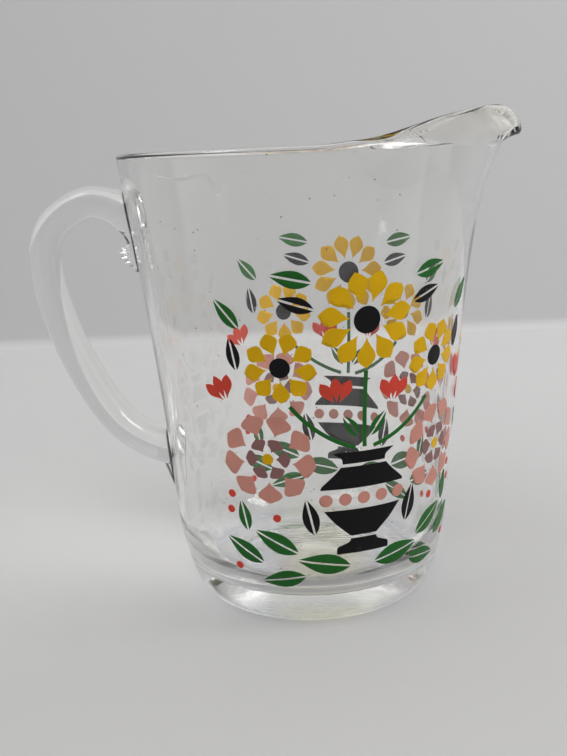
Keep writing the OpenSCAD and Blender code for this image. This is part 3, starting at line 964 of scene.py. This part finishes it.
def vessel_tint_and_painted_shimmer(tree):
    """Clear, warm along the fire-polished rim, with a faint painted shimmer in the heel: cold painted
    shade and a warm painted glint.
    """
    place = object_place(tree)
    x, _, height = place.parts()
    edge = Worked(tree, add(tree, "ShaderNodeAttribute", attribute_name="warm_edge").outputs["Fac"])
    colour = mixed(ramp(height, CREASE_H, RIM_H + CHEEK_RISE / 2), CLEAR, LIP_WARM)
    colour = mixed(edge, colour, RIM_WARM)
    scorched = ramp(from_dots(place, GRAIN_SCALE), *GRAIN_EDGE)
    scorched *= ramp(clouds(place, RUN_SCALE), *RUN_EDGE)
    scorched *= ramp(x, 0.0, SCORCH_FULL) * ramp(edge, *SCORCH_EDGE)
    colour = mixed(scorched, colour, RIM_BROWN)
    # Painted shimmer: light refracted through the heel, painted as cold shade on the sides and a warm
    # glint across the middle
    aside = (x - GLINT_X).size() + clouds(place, GLINT_PATCHES) * GLINT_WAVER
    painted_shimmer = mixed(ramp(aside, *GLINT_EDGE), HEEL_GLINT_WARM, HEEL_SHADE_COLD)
    return seeded(place, mixed(ramp(height, HEEL_BAND_H, HEEL_BAND_H / 2), colour, painted_shimmer))


def handle_tint_and_painted_shade(tree):
    """Clear, with a painted shade line round each joint."""
    line = Worked(tree, placed(tree, joint_shade, {})["Line"])
    return seeded(object_place(tree), mixed(line, HANDLE_CLEAR, JOINT_SHADE))


def heel_streaks(tree):
    """Fine marks across the heel and underside, left by the mould."""
    place = object_place(tree)
    streaks = clouds(drawn_out(place, STREAK_SHARES), STREAK_SCALE, STREAK_DETAIL)
    return streaks * ramp(place.parts()[2], HEEL_BAND_H, HEEL_BAND_H / 2)


def clear_glass(name, tint_and_painted_light, waves):
    """Clear glass with slow waves; a function given colours it, with the glass's own tint and its
    painted light.
    """
    material, tree = new_material(name)
    worn = placed(tree, marks, waves)
    height = Worked(tree, worn["Height"]) + heel_streaks(tree)
    looks = {
        "Base Color": tint_and_painted_light(tree),
        "Roughness": worn["Roughness"],
        "Normal": raised(tree, height, 1.0, GLASS_RELIEF),
        "IOR": GLASS_IOR,
        "Transmission Weight": 1.0,
    }
    shader = add(tree, "ShaderNodeBsdfPrincipled", looks)
    add(tree, "ShaderNodeOutputMaterial", {"Surface": shader.outputs[0]})
    return material


# The fired colours

ENAMEL_ROUGHNESS = 0.28
ENAMEL_ROUGHENED = 0.12
ENAMEL_SHINE = 0.12
ENAMEL_RELIEF = 0.05 * MM
ENAMEL_RELIEF_SHARE = 0.5
CLOUD_SCALE = 90.0
CLOUD_DETAIL = 4.0
CLOUD_HEIGHT = 0.5
CLOUD_SHADE = (0.3, 0.7, 0.93, 1.05)
PORE_SCALE = 900.0
PORE_EDGE = (0.16, 0.08)
RUBBED_SCALE = 45.0
RUBBED_EDGE = (0.55, 0.66)


def enamel_wear_group():
    """A fired colour's slight unevenness, pinholes and rubbed spots."""
    tree, given = new_tree(
        "enamel_wear",
        "ShaderNodeTree",
        {"Fired": "Color", "Rubbed": "Color", "Gloss roughness": ENAMEL_ROUGHNESS},
        {"Color": "Color", "Roughness": "Float", "Height": "Float"},
    )
    place = object_place(tree)
    cloudy = clouds(place, CLOUD_SCALE, CLOUD_DETAIL)
    even = Arrow(tree, given["Fired"].socket) * ramp(cloudy, *CLOUD_SHADE)
    rubbed = ramp(from_dots(place, PORE_SCALE), *PORE_EDGE)
    rubbed *= ramp(clouds(place, RUBBED_SCALE), *RUBBED_EDGE)
    looks = {
        "Color": mixed(rubbed, even, given["Rubbed"]),
        "Roughness": given["Gloss roughness"] + cloudy * ENAMEL_ROUGHENED,
        "Height": cloudy * CLOUD_HEIGHT - rubbed,
    }
    add(tree, "NodeGroupOutput", looks)
    return tree


def fired_enamel(name, fired, rubbed):
    material, tree = new_material(name)
    worn = placed(tree, wear, {"Fired": (*fired, 1), "Rubbed": (*rubbed, 1)})
    looks = {
        "Base Color": worn["Color"],
        "Roughness": worn["Roughness"],
        "Normal": raised(tree, worn["Height"], ENAMEL_RELIEF_SHARE, ENAMEL_RELIEF),
        "IOR": GLASS_IOR,
        "Specular IOR Level": ENAMEL_SHINE,
    }
    shader = add(tree, "ShaderNodeBsdfPrincipled", looks)
    add(tree, "ShaderNodeOutputMaterial", {"Surface": shader.outputs[0]})
    return material


# The pieces

marks = glass_marks_group()
joint_shade = joint_shade_group()
wear = enamel_wear_group()
skin_place = skin_place_tree()
skin_rule = skin_tree()
drawn_glass = drawn_tree()
laying = enamel_tree()

vessel_glass = clear_glass("vessel_glass", vessel_tint_and_painted_shimmer, VESSEL_WAVES)
vessel = add_piece("vessel", bpy.data.meshes.new("vessel"))
made_by(vessel, vessel_tree(), {"Glass": vessel_glass})
clad(vessel, vessel_glass)
vessel.data.shade_smooth()

handle = applied_handle()
clad(handle, clear_glass("handle_glass", handle_tint_and_painted_shade, HANDLE_WAVES))

prints = []
for colour, (fired, rubbed) in ENAMELS.items():
    piece = merged_copy(f"{colour}_enamel", f"{colour}_print")
    enamel = fired_enamel(f"{colour}_fired", fired, rubbed)
    made_by(piece, laying, {"Glass": vessel, "Enamel": enamel})
    piece.data.shade_smooth()
    piece.data.set_sharp_from_angle(angle=ENAMEL_SHARP_FROM)
    prints.append(piece)

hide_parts("glass_vessel")
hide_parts("glass_handle")
for colour, piece in zip(ENAMELS, prints):
    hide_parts(f"{colour}_enamel")
for piece in [vessel, handle, *prints]:
    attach(piece, "root")

# Clear glass passes the soft light on, so it leaves no dark shadow
for piece in (vessel, handle):
    piece.visible_shadow = False

# Camera

PHOTO_H = 756
FOCAL_PX = 952.23
SENSOR_W = 36
CLOSEST, FARTHEST = 0.01, 50
CAMERA_PLACE = Vector((0, -427.72, 204.36)) * MM
CAMERA_YAW = -0.0260
CAMERA_PITCH = 0.2464
CAMERA_ROLL = -0.0405


def camera_axes():
    """Unit vectors to the right, up and forward."""
    sin_yaw, cos_yaw = math.sin(CAMERA_YAW), math.cos(CAMERA_YAW)
    sin_pitch, cos_pitch = math.sin(CAMERA_PITCH), math.cos(CAMERA_PITCH)
    forward = Vector((sin_yaw * cos_pitch, cos_yaw * cos_pitch, -sin_pitch))
    right = Vector((cos_yaw, -sin_yaw, 0))
    up = right.cross(forward)
    c, s = math.cos(CAMERA_ROLL), math.sin(CAMERA_ROLL)
    return right * c + up * s, up * c - right * s, forward


right, up, forward = camera_axes()
lens = bpy.data.cameras.new("camera")
lens.sensor_width = SENSOR_W
lens.lens = FOCAL_PX / PHOTO_H * SENSOR_W
lens.clip_start, lens.clip_end = CLOSEST, FARTHEST
camera = add_piece("camera", lens)
camera.matrix_world = Matrix.Translation(CAMERA_PLACE) @ Matrix(
    ((right.x, up.x, -forward.x), (right.y, up.y, -forward.y), (right.z, up.z, -forward.z))
).to_4x4()
bpy.context.scene.camera = camera

# Table and backdrop

TABLE_BACK = 555 * MM
TABLE_NEAR = -100 * MM
TABLE_SKEW = math.radians(1.2)
TABLE_HALF = 2.5
TABLE_FRONT = 8.0
# The table's front and back colours: the darker front is painted shade
TABLE_SHADED_COLOURS = ((0.365, 0.362, 0.360), (0.53, 0.527, 0.525))
TABLE_GRAIN = 0.03
PATCH_SCALE = 3.0
PATCH_DETAIL = 6.0
COVE_R = 12 * MM
COVE_STEPS = 8
BACKDROP_H = 2.0
BACKDROP_COLOUR = (0.495, 0.495, 0.50)
BACKDROP_GRAIN = 0.02
DULL = 0.85


def matte(name, near_colour, far_colour, grain):
    """A dull surface whose colour changes slowly from the front to the back; on the table the darker
    front is painted shade.
    """
    material, tree = new_material(name)
    place = object_place(tree)
    share = ramp(place.parts()[1], TABLE_NEAR, TABLE_BACK)
    colour = Arrow(tree, mixed(share, (*near_colour, 1), (*far_colour, 1)))
    tone = colour * ramp(clouds(place, PATCH_SCALE, PATCH_DETAIL), 0.0, 1.0, 1 - grain, 1 + grain)
    shader = add(tree, "ShaderNodeBsdfPrincipled", {"Base Color": tone, "Roughness": DULL})

    # Nothing is hidden from behind
    back = add(tree, "ShaderNodeNewGeometry").outputs["Backfacing"]
    open_air = add(tree, "ShaderNodeBsdfTransparent")
    seen = add(tree, "ShaderNodeMixShader", {0: back, 1: shader.outputs[0], 2: open_air.outputs[0]})
    add(tree, "ShaderNodeOutputMaterial", {"Surface": seen.outputs[0]})
    return material


def strip(name, outline, material):
    """A long strip whose side view is the outline of [distance back, height]."""
    mesh = bpy.data.meshes.new(name)
    points = [(x, y, z) for y, z in outline for x in (-TABLE_HALF, TABLE_HALF)]
    faces = [(2 * i, 2 * i + 1, 2 * i + 3, 2 * i + 2) for i in range(len(outline) - 1)]
    mesh.from_pydata(points, [], faces)
    mesh.shade_smooth()
    mesh.materials.append(material)
    piece = add_piece(name, mesh)
    piece.rotation_euler.z = TABLE_SKEW


table_top = matte("table_top", *TABLE_SHADED_COLOURS, TABLE_GRAIN)
strip("table", [[-TABLE_FRONT, 0], [TABLE_BACK - COVE_R, 0]], table_top)
cove = [
    [TABLE_BACK - COVE_R * (1 - math.sin(a)), COVE_R * (1 - math.cos(a))]
    for a in np.linspace(0, math.pi / 2, COVE_STEPS + 1)
]
board = matte("backdrop_board", BACKDROP_COLOUR, BACKDROP_COLOUR, BACKDROP_GRAIN)
strip("backdrop", [*cove, [TABLE_BACK, BACKDROP_H]], board)

# Light: brighter from above, dimmer from the camera's side, which the glass mirrors

# What the camera sees beyond the table's edge
BEYOND_TABLE = 0.5

# From one height to another, level and then tilted, and the light at each
SKY_LEVELS = (-0.1, 0.9, 0.72, 1.62)
DIMMED_LEVELS = (-0.7, 0.7, 1.0, 0.35)
DIM_TILT = -1.2

# Each lamp's place, width, height and power
LAMP_AIM = (0, 0, 0.1)
KEY_LAMP = ((-0.7, -0.5, 1.3), 0.6, 0.6, 2.5)
FILL_LAMP = ((0.9, -0.3, 1.1), 0.5, 0.7, 9)

# Light that is trapped in thick glass leaves it only after many turns
LIGHT_TURNS = 32
MIRRORED_TURNS = 6

world = bpy.data.worlds.new("studio")
bpy.context.scene.world = world
world.use_nodes = True
sky = world.node_tree
sky.nodes.clear()
_, sky_y, sky_z = Arrow(sky, add(sky, "ShaderNodeTexCoord").outputs["Generated"]).parts()
level = ramp(sky_z, *SKY_LEVELS)
level *= ramp(sky_z * DIM_TILT - sky_y, *DIMMED_LEVELS, interpolation_type="SMOOTHERSTEP")
seen = add(sky, "ShaderNodeLightPath").outputs["Is Camera Ray"]
level = add(sky, "ShaderNodeMix", {0: seen, 2: level, 3: BEYOND_TABLE}).outputs[0]
glow = add(sky, "ShaderNodeBackground", {"Color": (1, 1, 1, 1), "Strength": level})
add(sky, "ShaderNodeOutputWorld", {"Surface": glow.outputs[0]})


def soft_box(name, place, width, height, power):
    light = bpy.data.lights.new(name, "AREA")
    light.shape, light.size, light.size_y, light.energy = "RECTANGLE", width, height, power
    lamp = add_piece(name, light)
    lamp.location = place
    lamp.rotation_euler = (Vector(LAMP_AIM) - Vector(place)).to_track_quat("-Z", "Y").to_euler()


soft_box("key", *KEY_LAMP)
soft_box("fill", *FILL_LAMP)

cycles = bpy.context.scene.cycles
cycles.max_bounces = cycles.transmission_bounces = LIGHT_TURNS
cycles.glossy_bounces = MIRRORED_TURNS
bpy.context.scene.view_settings.view_transform = "Standard"

bpy.context.view_layer.update()
